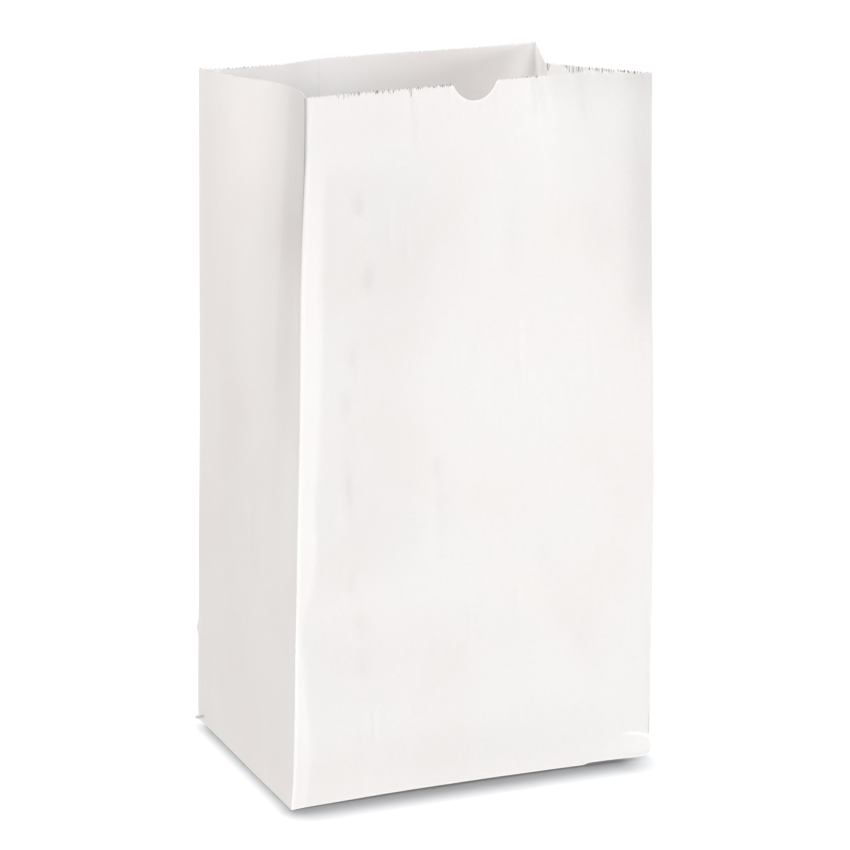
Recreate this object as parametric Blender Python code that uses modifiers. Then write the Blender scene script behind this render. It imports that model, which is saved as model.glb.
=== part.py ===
"""Paper grocery bag: one sheet of white bag paper, folded and glued into an open, flat-bottomed,
gusseted bag that stands by itself. Metres, +Z up, the front panel with the thumb notch towards -Y."""

import math

import bmesh
import bpy
from mathutils import Matrix, Vector

# ---------------------------------------------------------------- driving dimensions, metres
WIDTH = 0.2095          # front and back panels, side to side
DEPTH = 0.1560          # gusseted side panels, front to back
HEIGHT = 0.3770         # base to rim
WALL = 0.0010           # modelled wall of the paper

# How far each corner of the mouth stands from the upright over its base corner (x, y, z)
MOUTH_FRONT_LEFT = Vector((0.0069, -0.0132, 0.0007))
MOUTH_FRONT_RIGHT = Vector((0.0013, 0.0147, 0.0))
MOUTH_BACK_LEFT = Vector((0.0022, -0.0142, -0.0028))
MOUTH_BACK_RIGHT = Vector((0.0002, 0.0045, 0.0007))

GUSSET_IN_LEFT = 0.0107     # how far each gusset is tucked in at the mouth
GUSSET_IN_RIGHT = 0.0272
GUSSET_LEFT_AT = 0.45       # the left gusset has relaxed into a bow, deepest here from the front
GUSSET_START_LEFT = 0.42    # share of the height where the tuck begins
GUSSET_START_RIGHT = 0.24
FRONT_BOW = 0.0110          # the front rim's inward bow, fullest right of the middle
FRONT_BOW_SKEW = 1.5

NOTCH_WIDTH = 0.0266        # thumb notch across the rim of the front panel
NOTCH_DROP = 0.0098         # and how deep it is cut
NOTCH_AT = 0.5              # share of the panel's width

TOOTH_PITCH = 0.0023        # the pinked rim: about one point each 2.3 mm
TOOTH_DROP = 0.0013         # from a point down to the valley beside it

COLUMNS_FRONT = 10
COLUMNS_SIDE = 8            # even, so that one column line is the gusset's centre crease
ROWS = 12


# ---------------------------------------------------------------- the bag's form
def tuck(t, start):
    """Share of the gusset's tuck at the height share t: none up to start, full at the rim."""
    return max(0.0, (t - start) / (1.0 - start)) ** 1.15


def relaxed_bow(v):
    """The left gusset's section: a quarter wave in from the front corner, then a soft fall to the back."""
    if v < GUSSET_LEFT_AT:
        return math.sin(math.pi / 2 * v / GUSSET_LEFT_AT)
    return math.cos(math.pi / 2 * (v - GUSSET_LEFT_AT) / (1.0 - GUSSET_LEFT_AT)) ** 4


def bag_point(u, v, t):
    """The point of the bag for u from left to right, v from front to back, t from base to rim."""
    corners = {
        (0, 0): MOUTH_FRONT_LEFT, (1, 0): MOUTH_FRONT_RIGHT,
        (0, 1): MOUTH_BACK_LEFT, (1, 1): MOUTH_BACK_RIGHT,
    }
    point = Vector((u * WIDTH, v * DEPTH, t * HEIGHT))
    for (cu, cv), lean in corners.items():
        share = (u if cu else 1.0 - u) * (v if cv else 1.0 - v)
        point += lean * share * t
    crease = 1.0 - abs(2.0 * v - 1.0)
    point.x += relaxed_bow(v) * (1.0 - u) * GUSSET_IN_LEFT * tuck(t, GUSSET_START_LEFT)
    point.x -= crease * u * GUSSET_IN_RIGHT * tuck(t, GUSSET_START_RIGHT)
    skewed = u ** FRONT_BOW_SKEW
    point.y += (1.0 - v) * FRONT_BOW * 4.0 * skewed * (1.0 - skewed) * t ** 1.5
    return point


def new_object(name, mesh, collection):
    thing = bpy.data.objects.new(name, mesh)
    collection.objects.link(thing)
    return thing


def cut_lines(bm, axis, count):
    """Cuts the unit box into count equal bands along one axis."""
    normal = [0.0, 0.0, 0.0]
    normal[axis] = 1.0
    for i in range(1, count):
        at = [0.0, 0.0, 0.0]
        at[axis] = i / count
        bmesh.ops.bisect_plane(
            bm, geom=bm.verts[:] + bm.edges[:] + bm.faces[:],
            plane_co=at, plane_no=normal, dist=1e-6,
        )


def pink_rim(bm):
    """Divides each rim edge into whole teeth and drops every second point to a valley."""
    teeth = (
        max(1, round(WIDTH / COLUMNS_FRONT / TOOTH_PITCH)),
        max(1, round(DEPTH / COLUMNS_SIDE / TOOTH_PITCH)),
    )
    columns = (COLUMNS_FRONT, COLUMNS_SIDE)
    for axis in (0, 1):
        rim = [
            e for e in bm.edges
            if all(v.co.z > 1.0 - 1e-6 for v in e.verts)
            and abs(e.verts[0].co[axis] - e.verts[1].co[axis]) > 1e-6
        ]
        bmesh.ops.subdivide_edges(bm, edges=rim, cuts=2 * teeth[axis] - 1)
        steps = 2 * teeth[axis] * columns[axis]
        for vert in bm.verts:
            along, across = vert.co[axis], vert.co[1 - axis]
            on_panel = across < 1e-6 or across > 1.0 - 1e-6
            if vert.co.z > 1.0 - 1e-6 and on_panel and round(along * steps) % 2:
                vert.co.z = 1.0 - TOOTH_DROP / HEIGHT


def make_bag(collection):
    """An open-topped box, gridded, then drawn to the bag's form; Solidify gives the wall."""
    bm = bmesh.new()
    bmesh.ops.create_cube(bm, size=1.0)
    bmesh.ops.translate(bm, verts=bm.verts, vec=(0.5, 0.5, 0.5))
    lid = [f for f in bm.faces if f.normal.z > 0.9]
    bmesh.ops.delete(bm, geom=lid, context="FACES_ONLY")
    cut_lines(bm, 0, COLUMNS_FRONT)
    cut_lines(bm, 1, COLUMNS_SIDE)
    cut_lines(bm, 2, ROWS)
    pink_rim(bm)
    for vert in bm.verts:
        vert.co = bag_point(*vert.co)
    low = Vector([min(v.co[i] for v in bm.verts) for i in range(3)])
    high = Vector([max(v.co[i] for v in bm.verts) for i in range(3)])
    middle = Vector(((low.x + high.x) / 2, (low.y + high.y) / 2, low.z))
    bmesh.ops.translate(bm, verts=bm.verts, vec=-middle)
    bmesh.ops.recalc_face_normals(bm, faces=bm.faces)
    toothed = [f for f in bm.faces if len(f.verts) > 4]
    bmesh.ops.triangulate(bm, faces=toothed, ngon_method="BEAUTY")
    mesh = bpy.data.meshes.new("bag")
    bm.to_mesh(mesh)
    bm.free()
    bag = new_object("bag", mesh, collection)

    wall = bag.modifiers.new("paper wall", "SOLIDIFY")
    wall.thickness = WALL
    wall.offset = -1.0
    wall.use_even_offset = True
    wall.use_rim = True
    return bag, middle


def make_notch_cutter(collection, middle):
    """A cylinder through the front rim. Its radius and height follow from the notch's width and depth."""
    radius = (NOTCH_WIDTH ** 2 / 4 + NOTCH_DROP ** 2) / (2 * NOTCH_DROP)
    at = bag_point(NOTCH_AT, 0.0, 1.0) - middle
    along = bag_point(1.0, 0.0, 1.0) - bag_point(0.0, 0.0, 1.0)
    turn = math.atan2(along.y, along.x)
    bm = bmesh.new()
    bmesh.ops.create_cone(
        bm, cap_ends=True, cap_tris=False, segments=48, radius1=radius, radius2=radius, depth=0.05,
    )
    bmesh.ops.rotate(bm, verts=bm.verts, cent=(0, 0, 0), matrix=Matrix.Rotation(math.pi / 2, 3, "X"))
    mesh = bpy.data.meshes.new("notch_cutter")
    bm.to_mesh(mesh)
    bm.free()
    cutter = new_object("notch_cutter", mesh, collection)
    cutter.location = (at.x, at.y, at.z - NOTCH_DROP + radius)
    cutter.rotation_euler = (0.0, 0.0, turn)
    cutter.hide_render = True
    cutter.display_type = "WIRE"
    return cutter


def paper_material():
    material = bpy.data.materials.new("white bag paper")
    material.use_nodes = True
    shader = material.node_tree.nodes["Principled BSDF"]
    shader.inputs["Base Color"].default_value = (0.90, 0.885, 0.875, 1.0)
    shader.inputs["Roughness"].default_value = 0.72
    shader.inputs["Metallic"].default_value = 0.0
    return material


def main():
    for thing in list(bpy.data.objects):
        bpy.data.objects.remove(thing, do_unlink=True)
    parts = bpy.data.collections.new("paper_grocery_bag")
    cutters = bpy.data.collections.new("cutters")
    bpy.context.scene.collection.children.link(parts)
    bpy.context.scene.collection.children.link(cutters)

    bag, middle = make_bag(parts)
    bag.data.materials.append(paper_material())
    cutter = make_notch_cutter(cutters, middle)
    notch = bag.modifiers.new("thumb notch", "BOOLEAN")
    notch.operation = "DIFFERENCE"
    notch.solver = "EXACT"
    notch.object = cutter


main()
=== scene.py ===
"""Looks of the white paper grocery bag: thin folded paper with a pinked rim, a thumb notch, soft dents and creases."""
import math

import bmesh
import bpy
import numpy as np
from mathutils import Matrix, Vector


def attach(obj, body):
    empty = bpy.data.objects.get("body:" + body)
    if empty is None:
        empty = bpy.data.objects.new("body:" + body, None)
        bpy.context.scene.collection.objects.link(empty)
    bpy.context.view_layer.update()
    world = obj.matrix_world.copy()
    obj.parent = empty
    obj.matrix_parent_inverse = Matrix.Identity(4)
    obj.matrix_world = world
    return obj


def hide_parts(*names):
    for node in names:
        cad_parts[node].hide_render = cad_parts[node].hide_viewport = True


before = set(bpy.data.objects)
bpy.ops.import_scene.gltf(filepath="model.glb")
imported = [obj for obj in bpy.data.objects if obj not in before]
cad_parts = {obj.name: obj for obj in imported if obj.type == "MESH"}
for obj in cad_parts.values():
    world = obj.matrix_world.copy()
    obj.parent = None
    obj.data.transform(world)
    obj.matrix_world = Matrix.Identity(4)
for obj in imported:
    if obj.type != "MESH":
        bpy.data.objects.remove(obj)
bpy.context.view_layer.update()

MM = 0.001

# ------------------------------------------------------------------ the camera, in the frame's metres
CAM_AT = Vector((-0.6104, -1.46945, 0.5780))
CAM_YAW, CAM_PITCH, CAM_ROLL = -22.58, 13.98, 0.087
CAM_LENS = 3000.0 / 850.0 * 36.0


def make_camera():
    a, e, r = (math.radians(x) for x in (CAM_YAW, CAM_PITCH, CAM_ROLL))
    forward = Vector((-math.sin(a) * math.cos(e), math.cos(a) * math.cos(e), -math.sin(e)))
    right = Vector((math.cos(a), math.sin(a), 0.0))
    up = right.cross(forward)
    right, up = math.cos(r) * right + math.sin(r) * up, math.cos(r) * up - math.sin(r) * right
    data = bpy.data.cameras.new("camera")
    data.sensor_fit = "HORIZONTAL"
    data.sensor_width = 36.0
    data.lens = CAM_LENS
    data.clip_start = 0.05
    data.clip_end = 60.0
    cam = bpy.data.objects.new("camera", data)
    bpy.context.scene.collection.objects.link(cam)
    cam.matrix_world = Matrix((
        (right.x, up.x, -forward.x, CAM_AT.x),
        (right.y, up.y, -forward.y, CAM_AT.y),
        (right.z, up.z, -forward.z, CAM_AT.z),
        (0.0, 0.0, 0.0, 1.0),
    ))
    bpy.context.scene.camera = cam


make_camera()

# ------------------------------------------------------------------ the bag's sizes, in millimetres
WIDTH, DEPTH, HEIGHT = 209.5, 156.0, 377.0
PAPER = 0.25                       # shown thickness of the sheet
MIDDLE = np.array([105.4, 73.65, 0.0])   # the frame's origin, counted from the base's front left corner
LEAN = {                           # how far each corner of the mouth stands from its base corner
    (0, 0): (6.9, -13.2, 0.7), (1, 0): (1.3, 14.7, 0.0),
    (0, 1): (2.2, -14.2, -2.8), (1, 1): (0.2, 4.5, 0.7),
}
FRONT, RIGHT, BACK, LEFT = 0, 1, 2, 3
TOOTH, TOOTH_DROP = 2.3, 1.1
NOTCH_X, NOTCH_WIDTH, NOTCH_DROP = 104.1, 29.2, 9.9
NOTCH_R = (NOTCH_WIDTH ** 2 / 4 + NOTCH_DROP ** 2) / (2 * NOTCH_DROP)
SEAM = (72.0, 92.0)                # the back seam's free edge and its hidden edge, from the left
FOLD = (0.45, 1.1)                 # extra grid lines each side of a fold, so that it turns on a small radius


# ------------------------------------------------------------------ small helpers on arrays
def smooth(x, a, b):
    """0 below a, 1 above b, and a smooth step between them."""
    t = np.clip((np.asarray(x, float) - a) / (b - a), 0.0, 1.0)
    return t * t * (3.0 - 2.0 * t)


def hump(x, centre, half):
    return np.exp(-((np.asarray(x, float) - centre) / half) ** 2)


def spline(x, knots):
    """A smooth curve through the knots (place, value), level beyond both ends."""
    kx, ky = (np.array([k[i] for k in knots], float) for i in (0, 1))
    x = np.clip(np.asarray(x, float), kx[0], kx[-1])
    d = np.diff(ky) / np.diff(kx)
    m = np.concatenate([[d[0]], 0.5 * (d[:-1] + d[1:]), [d[-1]]])
    i = np.clip(np.searchsorted(kx, x, side="right") - 1, 0, len(kx) - 2)
    h = kx[i + 1] - kx[i]
    t = (x - kx[i]) / h
    return ((1 + 2 * t) * (1 - t) ** 2 * ky[i] + t * (1 - t) ** 2 * h * m[i]
            + t * t * (3 - 2 * t) * ky[i + 1] + t * t * (t - 1) * h * m[i + 1])


def gradient_noise(x, y, seed):
    """Smooth noise, about -1 to 1, one cell to the unit."""
    rng = np.random.RandomState(seed)
    size = 64
    angle = rng.rand(size, size) * 2 * np.pi
    gx, gy = np.cos(angle), np.sin(angle)
    x0, y0 = np.floor(x).astype(int), np.floor(y).astype(int)
    fx, fy = x - x0, y - y0
    wx, wy = fx ** 3 * (fx * (6 * fx - 15) + 10), fy ** 3 * (fy * (6 * fy - 15) + 10)

    def corner(i, j):
        a, b = (x0 + i) % size, (y0 + j) % size
        return gx[a, b] * (fx - i) + gy[a, b] * (fy - j)

    low = corner(0, 0) * (1 - wx) + corner(1, 0) * wx
    high = corner(0, 1) * (1 - wx) + corner(1, 1) * wx
    return 1.5 * (low * (1 - wy) + high * wy)


def along_line(x, z, a, b):
    """Distance from the line through a and b, and the share of the way from a to b."""
    (ax, az), (bx, bz) = a, b
    dx, dz = bx - ax, bz - az
    length = math.hypot(dx, dz)
    share = ((x - ax) * dx + (z - az) * dz) / length ** 2
    off = ((x - ax) * dz - (z - az) * dx) / length
    return off, share


def crease(x, z, a, b, height, half, fade=0.25):
    """A narrow ridge (height > 0) or groove along the line from a to b that fades at both ends."""
    off, share = along_line(x, z, a, b)
    ends = smooth(share, -fade, fade) * (1.0 - smooth(share, 1.0 - fade, 1.0 + fade))
    return height * ends / (1.0 + (off / half) ** 2) ** 1.5


def dent(x, z, at, radii, depth, tilt=0.0):
    """A shallow round hollow with a crisper far side."""
    c, s = math.cos(tilt), math.sin(tilt)
    dx, dz = x - at[0], z - at[1]
    px, pz = (c * dx + s * dz) / radii[0], (c * dz - s * dx) / radii[1]
    return -depth * np.exp(-(px ** 2 + pz ** 2)) * (1.0 + 0.45 * np.tanh(1.5 * px))


# ------------------------------------------------------------------ the sheet's form
def tuck(t, start):
    return np.maximum(0.0, (t - start) / (1.0 - start)) ** 1.15


def relaxed_bow(v, peak):
    front = np.sin(np.pi / 2 * np.clip(v / peak, 0.0, 1.0))
    back = np.cos(np.pi / 2 * np.clip((v - peak) / (1.0 - peak), 0.0, 1.0)) ** 4
    return np.where(v < peak, front, back)


# plan of the mouth: how far the front rim and the back rim stand from their straight chords
FRONT_RIM = [(0, 0), (.04, 2.2), (.09, 4.4), (.15, 6.0), (.22, 7.3), (.3, 9.0), (.4, 11.2), (.5, 13.6), (.6, 16.2),
             (.68, 18.2), (.735, 18.9), (.78, 17.6), (.83, 14.6), (.88, 10.8), (.93, 6.6), (.97, 2.8), (1, 0)]
FRONT_BROAD = [(0, 0), (.1, 1.7), (.22, 3.6), (.3, 4.8), (.4, 6.2), (.5, 7.4), (.6, 8.2), (.7, 8.0), (.8, 6.6),
               (.9, 3.8), (1, 0)]
BACK_RIM = [(0, 0), (.05, -5.5), (.1, -7.2), (.16, -7.2), (.22, -7.6), (.25, -6.2), (.29, -2.6), (.33, 0), (.37, 1.6),
            (.45, 1.4), (.52, 1.8), (.6, .4), (.7, -1.8), (.8, -2.6), (.87, -2.5), (.94, -1), (1, 0)]


def front_bow(u, t):
    broad = spline(u, FRONT_BROAD)
    return broad * t ** 1.6 + (spline(u, FRONT_RIM) - broad) * np.exp(-(1.0 - t) * HEIGHT / 52.0)


def back_bow(u, t):
    return spline(u, BACK_RIM) * t ** 3


def edge_shift(corner, t):
    """How far each upright fold strays from its straight line, in x and y."""
    if corner == (0, 0):
        x = 0.75 * hump(t, 0.93, 0.09) + 0.65 * hump(t, 0.10, 0.07) - 0.55 * hump(t, 0.0, 0.022)
        return x, 0.0 * t
    if corner == (1, 0):
        return 1.75 * hump(t, 0.40, 0.24), -0.4 * hump(t, 0.40, 0.3)
    if corner == (0, 1):
        return 0.8 * hump(t, 0.50, 0.30), 0.0 * t
    return 0.6 * hump(t, 0.45, 0.3), 0.5 * hump(t, 0.5, 0.3)


STRIP_TILT = [(0, .03), (8, .05), (30, .09), (56, .15), (80, .15), (96, .09), (120, .10), (142, .12), (163, .15),
              (190, .15), (250, .15), (300, .14), (330, .10), (350, .04), (366, -.05), (377, -.09)]
STRIP_WIDE = [(0, 8), (30, 10), (56, 7.5), (84, 5.0), (104, 4.5), (120, 9), (142, 11), (163, 9.5), (190, 11.5),
              (216, 12.5), (243, 12.8), (300, 12), (377, 12)]
TURN_TILT = [(0, 0), (200, 0), (230, .0), (262, .07), (290, .10), (330, .09), (350, .05), (377, .0)]


# handling dents, a loose row of them down the front's left third: centre, radii, depth, slant
DENTS = (
    ((31.2, 317.7), (3.6, 5.2), 0.42, 0.3), ((37.4, 278.0), (3.4, 6.0), 0.50, -0.1),
    ((29.3, 238.0), (3.0, 8.0), 0.30, 0.1), ((25.6, 214.7), (3.4, 7.0), 0.30, 0.0),
    ((27.7, 170.0), (3.2, 13.0), 0.34, 0.05), ((78.8, 176.4), (3.2, 4.4), 0.30, 0.4),
    ((79.0, 150.0), (6.0, 20.0), 0.26, 0.0), ((29.5, 118.0), (2.6, 7.0), 0.20, -0.2),
    ((35.0, 96.0), (3.6, 5.0), 0.24, 0.3), ((36.0, 72.0), (4.0, 6.0), 0.22, 0.0),
    ((139.0, 112.0), (9.0, 18.0), 0.30, 0.2), ((118.0, 300.0), (10.0, 26.0), 0.30, 0.0),
    ((168.0, 292.0), (11.0, 20.0), 0.24, -0.2), ((160.0, 66.0), (12.0, 16.0), 0.25, 0.3),
)


def painted_light_and_tone(side, place, z):
    """Painted shade and painted highlights on the sheet, with a faint random tone: positive is the share of whiteness
    lost to painted shade, negative is painted highlight towards white.
    """
    wide = spline(z, STRIP_WIDE)
    # painted shade: the front just right of its bright left strip, darkened
    front = 0.036 * smooth(place, wide - 0.5, wide + 1.5) * (1.0 - smooth(place, 50.0, 100.0)) * smooth(z, 90.0, 150.0) * (
        1.0 - smooth(z, 325.0, 350.0))
    # painted shade in the middle of each small dent
    for at, radii, depth, tilt in DENTS:
        c, s = math.cos(tilt), math.sin(tilt)
        dx, dz = place - at[0], z - at[1]
        px, pz = (c * dx + s * dz) / radii[0], (c * dz - s * dx) / radii[1]
        if radii[0] < 5.0:
            front = front + min(0.12 * depth, 0.05) * np.exp(-(px ** 2 + pz ** 2) ** 1.5)
    # painted shade: the upper right edge of the front darkened
    front = front + 0.080 * smooth(place, 190.0, 206.0) * smooth(z, 225.0, 270.0)
    # painted shade: the upper part of the front darkened a little
    front = front + (0.024 + 0.022 * hump(place, 92.0, 62.0)) * smooth(z, 215.0, 300.0)
    # painted shade: a thin dark line down the right fold just above the lobe
    front = front + 0.30 * smooth(place, 208.4, 209.2) * smooth(z, 13.0, 15.5) * (1.0 - smooth(z, 21.0, 32.0))
    # painted shade: the front's top right darkened just below the rim
    front = front + 0.075 * smooth(place, 138.0, 160.0) * np.exp(-((HEIGHT - z) / 13.0) ** 2)
    # painted shade: two dark streaks below rim crinkles
    front = front + 0.05 * hump(place, 143.0, 2.2) * smooth(z, 350.0, 366.0) + 0.04 * hump(place, 171.0, 2.0) * smooth(z, 345.0, 362.0)
    back_in = DEPTH - place                      # the ring runs from the back along the left side
    # painted shade on the left side: a darker band near the front fold and a darker middle band
    left = 0.034 * (1.0 - smooth(back_in, 47.0, 52.0)) * smooth(z, 185.0, 240.0) * (
        1.0 - (1.0 - smooth(back_in, 6.0, 26.0)) * (1.0 - smooth(z, 270.0, 300.0)))
    left = left + 0.035 * smooth(back_in, 14.0, 40.0) * (1.0 - smooth(back_in, 95.0, 130.0)) * smooth(z, 110.0, 190.0) * (
        1.0 - smooth(z, 300.0, 340.0))
    # painted shade: darker near the front fold at the top, with a thin dark line right at the fold
    left = left + 0.080 * (1.0 - smooth(back_in, 36.0, 70.0)) * smooth(z, 270.0, 310.0)
    left = left + 0.36 * (1.0 - smooth(back_in, 1.3, 2.8)) * smooth(z, 285.0, 345.0)
    # a short dark slanted line at the foot of the back fold
    left = left + 0.5 * hump(z, 0.8 + 0.40 * (155.0 - back_in), 0.8) * smooth(back_in, 143.0, 149.0)
    other = 0.02 * smooth(gradient_noise(place / 30.0, z / 60.0, 71), 0.1, 0.6)
    # painted light and shade on the back wall's upper band, on both faces: darker near its left end, lighter around 70
    # mm in and near its right end
    from_left = WIDTH - place
    top = (0.10 * (1.0 - smooth(from_left, 20.0, 45.0)) - 0.60 * hump(from_left, 70.0, 46.0)
           - 0.45 * smooth(from_left, 186.0, 200.0)) * smooth(z, 290.0, 325.0)
    other = other + np.where(side == BACK, top, 0.0)
    # painted highlight over the crushed corner's lobe, brightest along its upper rim
    lobe = np.hypot((place - 197.0) / 19.5, (z - 1.0) / 14.8)
    front = front - 0.26 * (1.0 - smooth(lobe, 0.95, 1.01)) * smooth(place, 178.0, 200.0)
    front = front - 0.55 * hump(lobe, 0.98, 0.035) * smooth(place, 192.0, 200.0)
    # painted highlight: the facet along the front's left fold made whiter
    blur = 1.0 + 5.0 * smooth(z, 150.0, 290.0)
    front = front - 0.24 * (1.0 - smooth(place, wide - blur, wide + 0.5)) * (1.0 - smooth(z, 265.0, 350.0))
    # painted highlights: a bright line down the front's left fold, along the bottom edges of the front and the left
    # side, and along the notch's cut edge
    front = front - (0.40 + 0.55 * (1.0 - smooth(z, 120.0, 220.0))) * (1.0 - smooth(z, 330.0, 350.0)) * (1.0 - smooth(place, 0.5, 1.8))
    front = front - 0.80 * (1.0 - smooth(z, 0.2, 1.2))
    front = front - 0.60 * ((z > HEIGHT - TOOTH_DROP - 0.6) & (np.abs(place - NOTCH_X) < NOTCH_WIDTH / 2))
    left = left - 0.40 * (1.0 - smooth(z, 0.2, 1.2))
    return np.select([side == FRONT, side == LEFT], [front, left], other)


def front_relief(x, z):
    """Height of the front panel's surface above its plain form, towards the viewer."""
    r = 0.35 * gradient_noise(x / 62.0 + 3.1, z / 165.0 + 1.7, 11)
    r += 0.15 * gradient_noise(x / 27.0 + 8.4, z / 60.0 + 5.2, 12)
    r += 0.035 * gradient_noise(x / 11.0 + 2.4, z / 19.0 + 9.2, 13)
    for at, radii, depth, tilt in DENTS:
        r += dent(x, z, at, radii, 2.6 * depth, tilt)
    # fine upright creases
    for a, b, height, half in (
        ((67.3, 369.0), (67.6, 348.0), 0.30, 1.5), ((51.2, 319.0), (51.5, 299.0), 0.24, 1.3),
        ((61.8, 305.5), (62.1, 288.0), 0.24, 1.4), ((130.1, 253.0), (130.1, 215.0), 0.15, 1.9),
        ((143.6, 208.0), (143.3, 184.0), 0.12, 1.8), ((173.3, 249.0), (173.2, 214.0), 0.12, 1.8),
        ((45.7, 47.0), (46.4, 35.0), 0.30, 1.2), ((48.0, 44.0), (48.3, 36.0), -0.20, 1.1),
        ((20.4, 326.0), (19.8, 283.0), 0.10, 1.6), ((128.0, 108.0), (128.6, 97.0), 0.20, 1.2),
        ((25.0, 176.0), (25.3, 156.0), -0.14, 1.2), ((99.0, 120.0), (100.5, 76.0), 0.10, 2.0),
    ):
        r += crease(x, z, a, b, 2.0 * height, half)
    # short crinkles that run down from the pinked rim and the notch
    for a, b, height, half in (
        ((13.2, 380.0), (12.8, 367.0), -0.22, 1.3), ((24.8, 380.0), (26.0, 364.0), -0.18, 1.6),
        ((62.2, 380.0), (62.9, 364.0), -0.30, 1.2), ((64.9, 380.0), (65.3, 356.0), 0.30, 1.5),
        ((84.2, 380.0), (84.8, 360.0), -0.26, 1.5), ((87.6, 379.0), (88.4, 364.0), 0.18, 1.3),
        ((99.6, 371.0), (96.6, 358.0), -0.32, 1.5), ((104.9, 369.0), (105.1, 362.0), -0.24, 0.9),
        ((107.6, 370.0), (108.2, 360.0), 0.20, 1.2), ((118.6, 379.0), (117.6, 366.0), 0.14, 1.5),
        ((139.6, 380.0), (141.2, 366.0), -0.24, 1.2), ((143.6, 380.0), (146.6, 357.0), -0.42, 1.7),
        ((148.4, 379.0), (150.6, 360.0), 0.30, 2.0), ((171.8, 380.0), (171.9, 346.0), -0.20, 2.2),
        ((186.0, 380.0), (187.2, 362.0), 0.12, 1.8),
    ):
        r += crease(x, z, a, b, 1.35 * height, half, fade=0.45)
    # the panel falls back from its proud left fold in a flat facet, crisp at its inner side
    tilt = 2.1 * spline(z, STRIP_TILT)
    wide = spline(z, STRIP_WIDE)
    soft = 0.7 + 1.6 * hump(z, 120.0, 50.0)
    facet = tilt * 0.5 * ((wide - x) + np.sqrt((wide - x) ** 2 + soft ** 2))
    r += facet - 0.7 * tilt * wide * (1.0 - smooth(x, 30.0, WIDTH))
    # on the right only the upper part turns in towards its fold
    turn = spline(z, TURN_TILT)
    r += turn * 0.5 * ((x - 196.0) + np.sqrt((x - 196.0) ** 2 + 4.0 ** 2)) - turn * 13.5 * smooth(x, 90.0, WIDTH)
    r += 0.5 * np.exp(-(WIDTH - x) / 2.2) * smooth(z, 14.0, 30.0) * (1.0 - 0.6 * smooth(z, 60.0, 120.0))
    # the lower right corner's lobe, proud of the panel above it, with a crisp upper rim
    off = np.hypot((x - 197.0) / 19.5, (z - 1.0) / 14.8)
    r += 0.50 * (1.0 - smooth(off, 0.95, 1.02)) * smooth(z, -2.0, 4.0) * smooth(x, 187.0, 200.0)
    # a shallow press line above the base fold
    r += 0.05 * hump(z, 5.0, 3.4) - 0.03 * hump(z, 11.5, 4.5)
    return r


def left_relief(y, z):
    """The left gusset's relief; y runs back from the front fold. Positive stands out."""
    r = 0.30 * gradient_noise(y / 55.0 + 1.3, z / 150.0 + 4.7, 21)
    r += 0.12 * gradient_noise(y / 24.0 + 6.4, z / 75.0 + 2.2, 22)
    r += 0.04 * gradient_noise(y / 9.0 + 6.4, z / 30.0 + 2.2, 23)
    r += (1.9 * np.exp(-y / 9.0) - 0.3) * smooth(z, 200.0, 330.0) + 0.25 * np.exp(-y / 4.0) * smooth(z, 10.0, 40.0)
    r += 0.3 * np.exp(-(DEPTH - y) / 6.0) * smooth(z, 0.0, 16.0)
    r += crease(y, z, (70.8, 150.0), (69.4, 102.0), -0.22, 1.0)      # the last of the centre crease
    r += crease(y, z, (71.5, 330.0), (53.0, 205.0), 0.22, 7.0)       # the soft bend above it
    r += crease(y, z, (53.0, 192.0), (152.0, 112.0), 0.60, 9.0)      # a broad diagonal roll to the back fold
    r += crease(y, z, (78.0, 78.0), (4.0, 4.0), 0.04, 2.0, fade=0.1)     # the bottom's folding lines
    r += crease(y, z, (78.0, 78.0), (152.0, 4.0), 0.04, 2.0, fade=0.1)
    r += dent(y, z, (118.0, 26.0), (10.0, 9.0), 0.35, 0.4)
    r += dent(y, z, (140.0, 24.0), (2.6, 7.0), 0.30, 0.1)
    r += dent(y, z, (30.0, 352.0), (9.0, 26.0), 0.30, 0.0)
    return r


def side_relief(y, z):
    """The right gusset, folded more sharply than the left one."""
    r = 0.28 * gradient_noise(y / 52.0 + 9.3, z / 140.0 + 3.7, 31)
    r += 0.12 * gradient_noise(y / 22.0 + 4.4, z / 70.0 + 8.2, 32)
    flare = 0.8 * np.exp(-y / 7.0) + 0.7 * np.exp(-(DEPTH - y) / 7.0)
    r += flare * smooth(z, 0.0, 16.0) - 0.2
    r += crease(y, z, (78.0, 78.0), (4.0, 4.0), 0.40, 2.4, fade=0.06)
    r += crease(y, z, (78.0, 78.0), (152.0, 4.0), 0.40, 2.4, fade=0.06)
    r += crease(y, z, (78.0, 78.0), (156.0, 79.0), 0.22, 2.2, fade=0.1)
    r += dent(y, z, (44.0, 210.0), (6.0, 12.0), 0.45, 0.3)
    r += dent(y, z, (112.0, 260.0), (7.0, 15.0), 0.40, -0.2)
    return r


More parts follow.
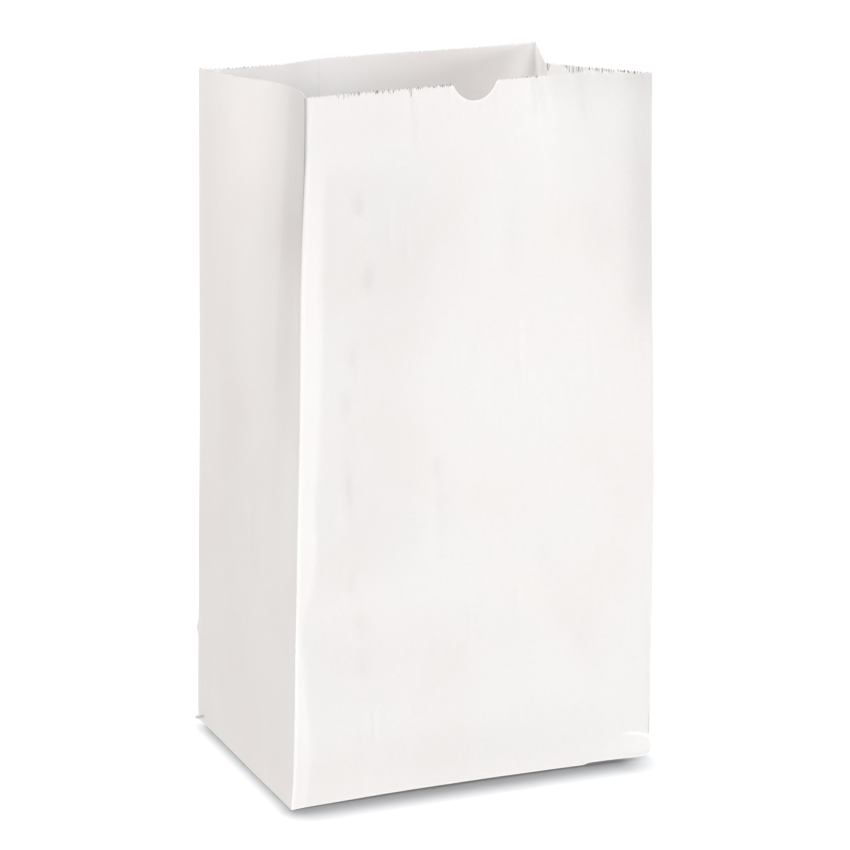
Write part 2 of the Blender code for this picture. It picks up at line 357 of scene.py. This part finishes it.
def back_relief(x, z):
    """The back panel, x from the left. Its glued seam and the bottom's cross crease show."""
    r = 0.36 * gradient_noise(x / 60.0 + 5.3, z / 150.0 + 7.7, 41)
    r += 0.16 * gradient_noise(x / 26.0 + 1.4, z / 75.0 + 3.2, 42)
    flare = 0.9 * np.exp(-x / 7.0) + 0.9 * np.exp(-(WIDTH - x) / 7.0)
    r += flare * smooth(z, 0.0, 16.0) - 0.3
    r += 0.45 / (1.0 + ((z - 78.0) / 1.6) ** 2) ** 1.5
    # the glued seam that closes the tube, two sheets thick
    r += 0.34 * smooth(x, SEAM[0], SEAM[0] + 0.5) * (1.0 - smooth(x, SEAM[1], SEAM[1] + 2.0))
    for a, b, height, half in (
        ((40.0, 290.0), (41.0, 262.0), 0.3, 1.6), ((150.0, 228.0), (149.0, 190.0), 0.3, 1.6),
        ((171.0, 330.0), (172.5, 306.0), 0.3, 1.5), ((112.0, 150.0), (111.0, 121.0), 0.25, 1.5),
    ):
        r += crease(x, z, a, b, height, half)
    for at, radii, depth, tilt in (
        ((60.0, 205.0), (5.0, 9.0), 0.4, 0.3), ((135.0, 305.0), (6.0, 11.0), 0.4, -0.2),
        ((178.0, 140.0), (5.0, 10.0), 0.4, 0.1),
    ):
        r += dent(x, z, at, radii, depth, tilt)
    return r


def form(side, a, z):
    """Points of the sheet's outer face: side, the share a along that side in ring order, and height z."""
    side, a, z = (np.asarray(q, float) for q in (side, a, z))
    u = np.select([side == FRONT, side == RIGHT, side == BACK], [a, 1.0, 1.0 - a], 0.0)
    v = np.select([side == FRONT, side == RIGHT, side == BACK], [0.0, a, 1.0], 1.0 - a)
    t = z / HEIGHT
    tc = np.clip(t, 0.0, 1.0)
    x, y, h = u * WIDTH, v * DEPTH, z + 0.0
    for (cu, cv), lean in LEAN.items():
        share = (u if cu else 1.0 - u) * (v if cv else 1.0 - v)
        sx, sy = edge_shift((cu, cv), tc)
        x = x + share * (lean[0] * t + sx)
        y = y + share * (lean[1] * t + sy)
        h = h + share * lean[2] * t
    # left gusset: relaxed into a bow whose hollow drifts forward on its way down
    peak = 0.33 + 0.12 * smooth(tc, 0.5, 0.9)
    x = x + (1.0 - u) * 10.7 * relaxed_bow(v, peak) * tuck(tc, 0.30) * smooth(tc, 0.28, 0.6)
    # right gusset: a sharp centre crease
    sharp = 1.0 - np.abs(2.0 * v - 1.0)
    x = x - u * 27.2 * sharp * tuck(tc, 0.24)
    h = h - u * 2.4 * sharp * tuck(tc, 0.24)
    # the front panel bows in, most at its rim; the back panel bends at its seam
    y = y + (1.0 - v) * front_bow(u, tc) + v * back_bow(u, tc)
    # the base's front edge is drawn in a little and just clears the table between its corners
    low = 1.0 - smooth(z, 0.0, 40.0)
    y = y + (1.0 - v) * 2.0 * np.sin(np.pi * u) * low
    h = h + (1.0 - v) * 0.8 * np.sin(np.pi * np.clip(u * 1.02, 0.0, 1.0)) ** 0.6 * (1.0 - smooth(z, 0.0, 12.0))
    # the back left fold has a torn tick and a sharp foot
    tip = np.clip(1.0 - (1.0 - v) * DEPTH / 5.0, 0.0, 1.0) * np.clip(1.0 - u * WIDTH / 5.0, 0.0, 1.0)
    x = x - tip * (1.4 * hump(tc, 0.1497, 0.007) + 1.9 * hump(tc, 0.002, 0.004))
    # its right end is crushed: a step in the fold, a rounded corner and a lobe pushed out to the side
    near = np.clip(1.0 - v * DEPTH / 26.0, 0.0, 1.0) ** 1.5
    h = h + near * (1.1 * smooth(u * WIDTH, 170.0, 174.0) + 1.1 * smooth(u * WIDTH, 200.0, 209.5) ** 2) * (1.0 - smooth(z, 0.0, 9.0))
    x = x + near * 1.35 * smooth(u * WIDTH, 186.0, 209.5) * smooth(z, 0.5, 4.0) * (1.0 - smooth(z, 7.0, 10.4))
    # surface relief along each side's outward axis, eased to nothing right at the folds
    ease = smooth(a * np.where((side == FRONT) | (side == BACK), WIDTH, DEPTH), -0.4, 0.8) * smooth(
        (1.0 - a) * np.where((side == FRONT) | (side == BACK), WIDTH, DEPTH), -0.4, 0.8)
    xx, yy = u * WIDTH, v * DEPTH
    y = np.where(side == FRONT, y - front_relief(xx, z) * ease, y)
    x = np.where(side == RIGHT, x + side_relief(yy, z) * ease, x)
    y = np.where(side == BACK, y + back_relief(xx, z) * ease, y)
    x = np.where(side == LEFT, x - left_relief(yy, z) * ease, x)
    return np.stack([x, y, h], -1)


# ------------------------------------------------------------------ the grid of the sheet
def panel_lines(length, step, per_tooth=1):
    """Evenly spaced column places on a side, per_tooth of them to each whole tooth, and the count of teeth."""
    teeth = round(length / step)
    plain = np.linspace(0.0, length, teeth * per_tooth + 1)
    return plain, teeth


def columns():
    """For each column of the ring: side, place along it in mm at the rim and low down, and the notch angle or None."""
    cols = []       # side, place at rim, place low down, in_notch angle or None

    def add(side, rim, low=None, angle=None):
        cols.append((side, rim, rim if low is None else low, angle))

    def run(side, start, stop, count, length, per):
        for i in range(count * per):
            p = start + (stop - start) * i / (count * per)
            add(side, p)

    # front, left of the notch
    left_end, right_start = NOTCH_X - NOTCH_WIDTH / 2, NOTCH_X + NOTCH_WIDTH / 2
    n_left = round(left_end / TOOTH)
    n_right = round((WIDTH - right_start) / TOOTH)
    run(FRONT, 0.0, left_end, n_left, WIDTH, 2)
    theta = math.asin(NOTCH_WIDTH / 2 / NOTCH_R)
    steps = 26
    for i in range(steps):
        angle = -theta + 2 * theta * i / steps
        add(FRONT, NOTCH_X + NOTCH_R * math.sin(angle), left_end + NOTCH_WIDTH * i / steps, angle)
    run(FRONT, right_start, WIDTH, n_right, WIDTH, 2)
    n_side = round(DEPTH / TOOTH)
    run(RIGHT, 0.0, DEPTH, n_side, DEPTH, 1)
    n_back = round(WIDTH / TOOTH)
    run(BACK, 0.0, WIDTH, n_back, WIDTH, 1)
    run(LEFT, 0.0, DEPTH, n_side, DEPTH, 1)
    # extra lines close to the four upright folds
    length = {FRONT: WIDTH, RIGHT: DEPTH, BACK: WIDTH, LEFT: DEPTH}
    for side in (FRONT, RIGHT, BACK, LEFT):
        for off in FOLD:
            add(side, off)
            add(side, length[side] - off)
    for off in (0.0, 0.5):
        add(BACK, WIDTH - SEAM[0] - off)
    order = sorted(range(len(cols)), key=lambda i: (cols[i][0], cols[i][2]))
    cols = [cols[i] for i in order]
    kept = [cols[0]]
    for c in cols[1:]:
        if c[0] != kept[-1][0] or c[2] - kept[-1][2] > 0.02:
            kept.append(c)
    return kept


def row_heights():
    """Heights of the wall's rows, fine near the base fold and below the rim."""
    rows = [0.0, 0.45, 1.1, 2.1, 3.2, 4.4, 5.6, 6.8, 8.0, 9.2, 10.3, 11.4, 12.5, 13.5, 14.4, 15.2, 16.0, 17.0, 19.0, 22.0]
    while rows[-1] < HEIGHT - 48.0:
        rows.append(rows[-1] + 4.75)
    top = HEIGHT - TOOTH_DROP
    fine = 19
    last = rows[-1]
    for i in range(1, fine + 1):
        s = i / fine
        rows.append(last + (top - last) * (1.0 - (1.0 - s) ** 1.25))
    return rows


# how far down, in mm, painted dark ticks of shade run below the gaps between the pinked teeth: place along the side,
# usual length
PAINTED_TICK_SHADE = {
    FRONT: [(0, .3), (17, .5), (19, 6.5), (21, 2.4), (24, 6.0), (27, 2.6), (50, 2.4), (52, 4.5), (54, 2.2), (62, 2.6),
            (63.5, 6.0), (65.5, 2.4), (86, 2.2), (91, 1.2), (100, 0), (117, .4), (132, 1.6), (146, 1.8), (150, .3), (209.5, .3)],
    RIGHT: [(0, 1.1), (8, 2.4), (20, 3.8), (40, 4.8), (60, 5.2), (65, .9), (75, .8), (76.5, 7.0), (79, 7.0), (80, .5), (156, .3)],
    BACK: [(0, .2), (60, .3), (110, .5), (176, .6), (181, 2.0), (196, 2.2), (200, .5), (209.5, .3)],
    LEFT: [(0, .3), (20, .8), (40, .2), (156, .2)],
}


def painted_tick_reach(side, place):
    reach = np.select([side == s for s in PAINTED_TICK_SHADE], [np.interp(place, *zip(*PAINTED_TICK_SHADE[s])) for s in PAINTED_TICK_SHADE])
    chance = np.random.RandomState(8).rand(len(place))
    return reach * (0.35 + 0.75 * chance)


BASE_IN = [60.0, 36.0, 16.0, 5.0, 1.1, 0.45]


def build_sheet():
    cols = columns()
    n = len(cols)
    side = np.array([c[0] for c in cols], float)
    at_rim = np.array([c[1] for c in cols])
    at_low = np.array([c[2] for c in cols])
    angle = np.array([np.nan if c[3] is None else c[3] for c in cols])
    length = np.where((side == FRONT) | (side == BACK), WIDTH, DEPTH)
    rim_top = HEIGHT - TOOTH_DROP
    drop = np.where(np.isnan(angle), 0.0, rim_top - (HEIGHT - NOTCH_DROP + NOTCH_R - NOTCH_R * np.cos(np.nan_to_num(angle))))
    drop = np.maximum(drop, 0.0)
    points, rows = [], []
    # base rings, from the middle outwards
    foot = form(side, at_low / length, np.zeros(n))
    centre = np.array([WIDTH / 2, DEPTH / 2])
    for inset in BASE_IN:
        sx = np.clip(foot[:, 0], inset, WIDTH - inset)
        sy = np.clip(foot[:, 1], inset, DEPTH - inset)
        along_x = inset + (foot[:, 0] / WIDTH) * (WIDTH - 2 * inset)
        along_y = inset + (foot[:, 1] / DEPTH) * (DEPTH - 2 * inset)
        px = np.where((side == FRONT) | (side == BACK), along_x, np.where(side == RIGHT, foot[:, 0] - inset, foot[:, 0] + inset))
        py = np.where((side == RIGHT) | (side == LEFT), along_y, np.where(side == FRONT, foot[:, 1] + inset, foot[:, 1] - inset))
        lift = 0.68 + (foot[:, 2] - 0.0) * math.exp(-inset / 9.0) * 1.0
        lift = lift - 0.68 * math.exp(-inset / 1.2)
        points.append(np.stack([px, py, np.maximum(lift, 0.02)], -1))
    heights = row_heights()
    for i, z in enumerate(heights):
        w = smooth(z, rim_top - 34.0, rim_top - 1.0)
        place = at_low + (at_rim - at_low) * w
        s = np.clip((z - (rim_top - 30.0)) / 30.0, 0.0, 1.0)
        zz = z - drop * s
        points.append(form(side, place / length, zz))
    total = len(points)
    verts = np.concatenate(points)
    # each point's place on the sheet: along the ring, and down from the cut edge
    start = np.array([0.0, WIDTH, WIDTH + DEPTH, 2 * WIDTH + DEPTH])
    along = start[side.astype(int)] + at_rim
    painted_tick = painted_tick_reach(side, at_rim)
    sheet = [np.stack([along, np.full(n, HEIGHT + 20.0), painted_tick], -1)] * len(BASE_IN)
    # painted shade and painted highlights for each point of the walls, none on the base rings
    painted_light_and_tone_values = [np.zeros(n)] * len(BASE_IN) + [painted_light_and_tone(side, at_rim, np.full(n, float(z))) for z in heights]
    for z in heights:
        sheet.append(np.stack([along, np.full(n, HEIGHT - z), painted_tick], -1))
    faces = []
    skip = set()
    for r in range(total - 1):
        for j in range(n):
            k = (j + 1) % n
            faces.append((r * n + j, r * n + k, (r + 1) * n + k, (r + 1) * n + j))
    faces.append(tuple(range(n - 1, -1, -1)))    # the middle of the base
    # teeth on the top row, none across the notch
    top = (total - 1) * n
    extra = []
    limits = {FRONT: [(0.0, NOTCH_X - NOTCH_WIDTH / 2), (NOTCH_X + NOTCH_WIDTH / 2, WIDTH)],
              RIGHT: [(0.0, DEPTH)], BACK: [(0.0, WIDTH)], LEFT: [(0.0, DEPTH)]}
    rng = np.random.RandomState(5)
    for s in (FRONT, RIGHT, BACK, LEFT):
        ring = [j for j in range(n) if int(side[j]) == s]
        after = (ring[-1] + 1) % n
        place = {j: at_rim[j] for j in ring}
        full = ring + [after]
        place[after] = length[ring[0]]
        for low, high in limits[s]:
            teeth = round((high - low) / TOOTH)
            for q in range(teeth):
                a = low + (high - low) * q / teeth
                b = low + (high - low) * (q + 1) / teeth
                members = [j for j in full if a - 1e-6 <= place[j] <= b + 1e-6]
                if len(members) < 2:
                    continue
                mid = (a + b) / 2 + rng.uniform(-0.18, 0.18)
                high_z = HEIGHT + rng.uniform(-0.22, 0.12)
                peak = form([s], [mid / length[ring[0]]], [high_z])[0]
                index = len(verts) + len(extra)
                extra.append(peak)
                sheet.append(np.array([[start[s] + mid, 0.0, painted_tick[members[0]]]]))
                painted_light_and_tone_values.append(painted_light_and_tone_values[total - 1][members[:1]])
                for j, k in zip(members[:-1], members[1:]):
                    faces.append((top + j, top + k, index))
    if extra:
        verts = np.concatenate([verts, np.array(extra)])
    return (verts - MIDDLE) * MM, faces, np.concatenate(sheet), np.concatenate(painted_light_and_tone_values)


def mesh_from(name, verts, faces, collection=None):
    mesh = bpy.data.meshes.new(name)
    mesh.from_pydata([tuple(map(float, v)) for v in verts], [], faces)
    mesh.validate()
    mesh.update()
    thing = bpy.data.objects.new(name, mesh)
    (collection or bpy.context.scene.collection).objects.link(thing)
    return thing


verts, faces, on_sheet, painted_light_and_tone_values = build_sheet()
bag = mesh_from("paper_bag", verts, faces)
mark = bag.data.attributes.new("on_sheet", "FLOAT_VECTOR", "POINT")
mark.data.foreach_set("vector", on_sheet.astype(np.float32).ravel())
# painted shade and painted highlights for the paper material, with a faint random tone
mark = bag.data.attributes.new("painted_light_and_tone", "FLOAT", "POINT")
mark.data.foreach_set("value", painted_light_and_tone_values.astype(np.float32))
bag.data.shade_smooth()
solid = bag.modifiers.new("paper thickness", "SOLIDIFY")
solid.thickness = PAPER * MM
solid.offset = -1.0
solid.use_even_offset = False
solid.use_rim = True


def settle(thing):
    """Put the modifiers into the mesh and keep its cut edges crisp."""
    deps = bpy.context.evaluated_depsgraph_get()
    mesh = bpy.data.meshes.new_from_object(thing.evaluated_get(deps), preserve_all_data_layers=True, depsgraph=deps)
    thing.modifiers.clear()
    thing.data = mesh
    mesh.shade_smooth()
    mesh.set_sharp_from_angle(angle=math.radians(48.0))


settle(bag)

# ------------------------------------------------------------------ paper
def paper_material(name="white_bag_paper", tint=(1.0, 1.0, 1.0), painted_ticks=True):
    mat = bpy.data.materials.new(name)
    mat.use_nodes = True
    nt = mat.node_tree
    nodes, links = nt.nodes, nt.links
    shader = nodes["Principled BSDF"]
    shader.inputs["Roughness"].default_value = 0.74
    shader.inputs["Metallic"].default_value = 0.0
    shader.inputs["Specular IOR Level"].default_value = 0.28
    where = nodes.new("ShaderNodeTexCoord")

    def scaled(vec, link_from=None):
        m = nodes.new("ShaderNodeMapping")
        m.inputs["Scale"].default_value = vec
        links.new(where.outputs["Object"], m.inputs["Vector"])
        return m.outputs["Vector"]

    def noise(vec, scale, detail=4.0, rough=0.5, distortion=0.0):
        t = nodes.new("ShaderNodeTexNoise")
        t.inputs["Scale"].default_value = scale
        t.inputs["Detail"].default_value = detail
        t.inputs["Roughness"].default_value = rough
        t.inputs["Distortion"].default_value = distortion
        links.new(vec, t.inputs["Vector"])
        return t.outputs["Fac"]

    def ramp(fac, stops):
        r = nodes.new("ShaderNodeValToRGB")
        r.color_ramp.elements[0].position = stops[0][0]
        r.color_ramp.elements[0].color = (*stops[0][1], 1.0)
        r.color_ramp.elements[1].position = stops[-1][0]
        r.color_ramp.elements[1].color = (*stops[-1][1], 1.0)
        for pos, col in stops[1:-1]:
            e = r.color_ramp.elements.new(pos)
            e.color = (*col, 1.0)
        links.new(fac, r.inputs["Fac"])
        return r.outputs["Color"]

    def mix(kind, fac, a, b):
        m = nodes.new("ShaderNodeMix")
        m.data_type = "RGBA"
        m.blend_type = kind
        m.clamp_result = False
        if isinstance(fac, float):
            m.inputs["Factor"].default_value = fac
        else:
            links.new(fac, m.inputs["Factor"])
        links.new(a, m.inputs["A"])
        links.new(b, m.inputs["B"])
        return m.outputs["Result"]

    even = scaled((1.0, 1.0, 1.0))
    tall = scaled((1.0, 1.0, 0.22))
    squat = scaled((1.0, 1.0, 0.5))
    # broad drift between a faintly pink and a faintly grey white
    drift = ramp(noise(even, 16.0, 3.0, 0.45), [
        (0.40, (0.875 * tint[0], 0.843 * tint[1], 0.833 * tint[2])),
        (0.50, (0.879 * tint[0], 0.853 * tint[1], 0.845 * tint[2])),
        (0.60, (0.876 * tint[0], 0.864 * tint[1], 0.853 * tint[2])),
    ])
    streak = ramp(noise(tall, 230.0, 3.0, 0.5), [(0.3, (0.993, 0.9925, 0.992)), (0.7, (1.0, 1.0, 1.0))])
    cloud = ramp(noise(even, 420.0, 4.0, 0.6), [(0.34, (0.985, 0.984, 0.983)), (0.62, (1.0, 1.0, 1.0))])
    fleck = ramp(noise(even, 1500.0, 2.0, 0.5), [(0.26, (0.93, 0.925, 0.915)), (0.36, (1.0, 1.0, 1.0))])
    colour = mix("MULTIPLY", 1.0, drift, streak)
    colour = mix("MULTIPLY", 1.0, colour, cloud)
    colour = mix("MULTIPLY", 0.6, colour, fleck)
    # painted shade: dark ticks below the gaps between the pinked teeth, each of its own length
    if painted_ticks:
        place = nodes.new("ShaderNodeAttribute")
        place.attribute_name = "on_sheet"
        split = nodes.new("ShaderNodeSeparateXYZ")
        links.new(place.outputs["Vector"], split.inputs["Vector"])

        def math_node(kind, a, b):
            m = nodes.new("ShaderNodeMath")
            m.operation = kind
            m.use_clamp = False
            for socket, value in zip(m.inputs, (a, b)):
                if isinstance(value, float):
                    socket.default_value = value
                else:
                    links.new(value, socket)
            return m.outputs[0]

        def line_noise(cells, seed):
            t = nodes.new("ShaderNodeTexNoise")
            t.noise_dimensions = "2D"
            t.inputs["Scale"].default_value = 1.0
            t.inputs["Detail"].default_value = 0.0
            at = nodes.new("ShaderNodeCombineXYZ")
            links.new(math_node("MULTIPLY", split.outputs["X"], cells), at.inputs["X"])
            at.inputs["Y"].default_value = seed
            links.new(at.outputs["Vector"], t.inputs["Vector"])
            return t.outputs["Fac"]

        # thin where the line noise peaks
        thin = math_node("MULTIPLY", math_node("SUBTRACT", line_noise(1.9, 3.7), 0.575), 18.0)
        reach = split.outputs["Z"]
        above = math_node("SUBTRACT", reach, split.outputs["Y"])
        depth = math_node("MULTIPLY", math_node("MINIMUM", math_node("MAXIMUM", thin, 0.0), 1.0),
                          math_node("MINIMUM", math_node("MAXIMUM", above, 0.0), 1.0))
        # painted shade: a positive value mixes the colour towards near black
        painted_light_and_tone_values = nodes.new("ShaderNodeAttribute")
        painted_light_and_tone_values.attribute_name = "painted_light_and_tone"
        grey = nodes.new("ShaderNodeMix")
        grey.data_type = "RGBA"
        grey.blend_type = "MIX"
        links.new(math_node("MINIMUM", math_node("MAXIMUM", painted_light_and_tone_values.outputs["Fac"], 0.0), 1.0), grey.inputs["Factor"])
        links.new(colour, grey.inputs["A"])
        grey.inputs["B"].default_value = (0.02, 0.018, 0.02, 1.0)
        colour = grey.outputs["Result"]
        # painted highlight: a negative value mixes the colour towards white
        painted_highlight_mix = nodes.new("ShaderNodeMix")
        painted_highlight_mix.data_type = "RGBA"
        painted_highlight_mix.blend_type = "MIX"
        painted_highlight_share = math_node("MULTIPLY", painted_light_and_tone_values.outputs["Fac"], -1.0)
        links.new(math_node("MINIMUM", math_node("MAXIMUM", painted_highlight_share, 0.0), 1.0), painted_highlight_mix.inputs["Factor"])
        links.new(colour, painted_highlight_mix.inputs["A"])
        painted_highlight_mix.inputs["B"].default_value = (0.975, 0.970, 0.962, 1.0)
        colour = painted_highlight_mix.outputs["Result"]
        # painted shade: the dark ticks below the teeth gaps
        dark = nodes.new("ShaderNodeMix")
        dark.data_type = "RGBA"
        dark.blend_type = "MIX"
        links.new(depth, dark.inputs["Factor"])
        links.new(colour, dark.inputs["A"])
        dark.inputs["B"].default_value = (0.22, 0.20, 0.19, 1.0)
        colour = dark.outputs["Result"]
    links.new(colour, shader.inputs["Base Color"])

    fibre = noise(even, 900.0, 5.0, 0.62, 0.6)
    grain = noise(squat, 520.0, 3.0, 0.55)
    add = nodes.new("ShaderNodeMath")
    add.operation = "ADD"
    links.new(fibre, add.inputs[0])
    links.new(grain, add.inputs[1])
    bump = nodes.new("ShaderNodeBump")
    bump.inputs["Strength"].default_value = 0.22
    bump.inputs["Distance"].default_value = 0.00022
    links.new(add.outputs[0], bump.inputs["Height"])
    links.new(bump.outputs["Normal"], shader.inputs["Normal"])

    dull = nodes.new("ShaderNodeMapRange")
    dull.inputs["To Min"].default_value = 0.68
    dull.inputs["To Max"].default_value = 0.80
    links.new(noise(even, 260.0, 3.0, 0.5), dull.inputs["Value"])
    links.new(dull.outputs["Result"], shader.inputs["Roughness"])
    return mat


paper = paper_material()
bag.data.materials.append(paper)
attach(bag, "root")
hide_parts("bag")

# ------------------------------------------------------------------ the folded base: flaps below and inside
def flap(name, outline, low, seed, wave=0.10):
    """A flat piece of the sheet: outline in mm counted from the base's front left corner, its underside at low."""
    bm = bmesh.new()
    bm.faces.new([bm.verts.new(((x - MIDDLE[0]) * MM, (y - MIDDLE[1]) * MM, 0.0)) for x, y in outline])
    for cut in range(1, 34):
        x = WIDTH * cut / 34.0
        bmesh.ops.bisect_plane(bm, geom=bm.verts[:] + bm.edges[:] + bm.faces[:],
                               plane_co=((x - MIDDLE[0]) * MM, 0.0, 0.0), plane_no=(1.0, 0.0, 0.0))
    for cut in range(1, 26):
        y = DEPTH * cut / 26.0
        bmesh.ops.bisect_plane(bm, geom=bm.verts[:] + bm.edges[:] + bm.faces[:],
                               plane_co=(0.0, (y - MIDDLE[1]) * MM, 0.0), plane_no=(0.0, 1.0, 0.0))
    for v in bm.verts:
        x, y = v.co.x / MM, v.co.y / MM
        v.co.z = (low + wave * 0.5 * (1.0 + math.tanh(2.0 * float(gradient_noise(np.array(x / 30.0 + seed),
                                                                             np.array(y / 26.0 + seed), 61))))) * MM
    bm.normal_update()
    mesh = bpy.data.meshes.new(name)
    bm.to_mesh(mesh)
    bm.free()
    if mesh.polygons[0].normal.z < 0:
        mesh.flip_normals()
    thing = bpy.data.objects.new(name, mesh)
    bpy.context.scene.collection.objects.link(thing)
    mesh.shade_smooth()
    thick = thing.modifiers.new("paper thickness", "SOLIDIFY")
    thick.thickness = 0.22 * MM
    thick.offset = 1.0
    settle(thing)
    thing.data.materials.append(plain_paper)
    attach(thing, "root")
    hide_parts("bag")
    return thing


plain_paper = paper_material("white_bag_paper_flaps", painted_ticks=False)
W, D, H = WIDTH, DEPTH, DEPTH / 2
flaps = [
    # the last flap glued down, lowest, and the one it laps over
    flap("base_flap_back", [(2, D - 1.5), (H + 1, H + 1), (H - 12, H - 16), (W - H + 12, H - 16), (W - H - 1, H + 1), (W - 2, D - 1.5)], 0.04, 1.3),
    flap("base_flap_front", [(2, 3.5), (W - 2, 3.5), (W - H - 1, H - 1), (W - H + 9, H + 13), (H - 9, H + 13), (H + 1, H - 1)], 0.36, 5.1, 0.05),
    # the same fold seen from inside the bag
    flap("floor_fold_left", [(2, 3), (H + 22, H), (2, D - 3)], 0.95, 7.7),
    flap("floor_fold_right", [(W - 3, D - 4), (W - H - 22, H), (W - 3, 4)], 0.95, 3.3),
]

# ------------------------------------------------------------------ floor, light
def make_floor():
    bpy.ops.mesh.primitive_plane_add(size=30.0, location=(0.0, 0.0, -0.0003))
    floor = bpy.context.object
    floor.name = "floor"
    mat = bpy.data.materials.new("pale_floor")
    mat.use_nodes = True
    shader = mat.node_tree.nodes["Principled BSDF"]
    shader.inputs["Base Color"].default_value = (FLOOR_TONE * 0.99, FLOOR_TONE * 1.009, FLOOR_TONE * 1.032, 1.0)
    shader.inputs["Roughness"].default_value = 0.9
    shader.inputs["Specular IOR Level"].default_value = 0.0
    floor.data.materials.append(mat)
    # the sweep lights nothing back onto the paper
    floor.visible_diffuse = False
    floor.visible_glossy = False
    floor.visible_shadow = False
    return floor


FLOOR_TONE = 0.64
floor = make_floor()


def make_world(strength):
    world = bpy.data.worlds.new("studio")
    bpy.context.scene.world = world
    world.use_nodes = True
    back = world.node_tree.nodes["Background"]
    back.inputs["Color"].default_value = (1.0, 0.995, 0.992, 1.0)
    back.inputs["Strength"].default_value = strength


def point_at(thing, target):
    thing.rotation_euler = (Vector(target) - thing.location).to_track_quat("-Z", "Y").to_euler()


def lit_only(light, name, things):
    group = bpy.data.collections.new(name)
    for thing in things:
        group.objects.link(thing)
    light.light_linking.receiver_collection = group


def soft_box(name, azimuth, elevation, distance, size, energy, colour=(1.0, 1.0, 1.0)):
    """A square soft box; azimuth is counted from the front, towards the right."""
    a, e = math.radians(azimuth), math.radians(elevation)
    data = bpy.data.lights.new(name, "AREA")
    data.shape = "SQUARE"
    data.size = size
    data.energy = energy
    data.color = colour
    thing = bpy.data.objects.new(name, data)
    thing.location = Vector((math.sin(a) * math.cos(e), -math.cos(a) * math.cos(e), math.sin(e))) * distance + Vector((0, 0, 0.19))
    bpy.context.scene.collection.objects.link(thing)
    point_at(thing, (0.0, 0.0, 0.19))
    return thing


def make_lights(paper_things):
    make_world(0.28)
    bpy.context.scene.world.cycles.sampling_method = "NONE"
    boxes = (
        soft_box("key", 64.0, 7.0, 5.0, 1.8, 126.0),
        soft_box("front_high", -8.0, 42.0, 5.0, 2.2, 66.0),
        soft_box("front_left", -45.0, 22.0, 5.0, 2.2, 82.0),
        soft_box("side", -95.0, 23.0, 5.0, 2.2, 110.5, (1.0, 0.973, 0.950)),
        soft_box("bounce", 10.0, -28.0, 5.0, 3.0, 50.0),
        soft_box("back", 168.0, 22.0, 5.0, 2.6, 125.0),
    )
    for light in boxes:
        lit_only(light, light.name + "_receivers", paper_things)
        group = bpy.data.collections.new(light.name + "_blockers")
        for thing in paper_things:
            group.objects.link(thing)
        light.light_linking.blocker_collection = group
    # the overhead light that whitens the floor; a flag over the base shapes its short soft shadow
    data = bpy.data.lights.new("overhead", "SUN")
    data.energy = 4.34
    data.angle = math.radians(24.0)
    top = bpy.data.objects.new("overhead", data)
    top.rotation_euler = Vector((0.384 * FLAG_LEAN, 0.923 * FLAG_LEAN, 1.0)).to_track_quat("Z", "Y").to_euler()
    bpy.context.scene.collection.objects.link(top)
    lit_only(top, "overhead_receivers", [floor])
    flag = mesh_from("light_flag", [
        (-.1061, -.07365, .032), (-.1061, .08235, .032), (-.0930, -.07365, FLAG_UP), (-.0930, .08235, FLAG_UP),
        (.1041, -.07365, FLAG_UP), (.1041, .08235, FLAG_UP)], [(0, 2, 3, 1), (2, 4, 5, 3)])
    for sight in ("camera", "diffuse", "glossy", "transmission", "volume_scatter"):
        setattr(flag, "visible_" + sight, False)
    group = bpy.data.collections.new("overhead_blockers")
    group.objects.link(flag)
    top.light_linking.blocker_collection = group


FLAG_UP, FLAG_LEAN = 0.060, 0.250
make_lights([bag] + flaps)
bpy.context.scene.view_settings.view_transform = "Standard"
bpy.context.scene.view_settings.look = "None"
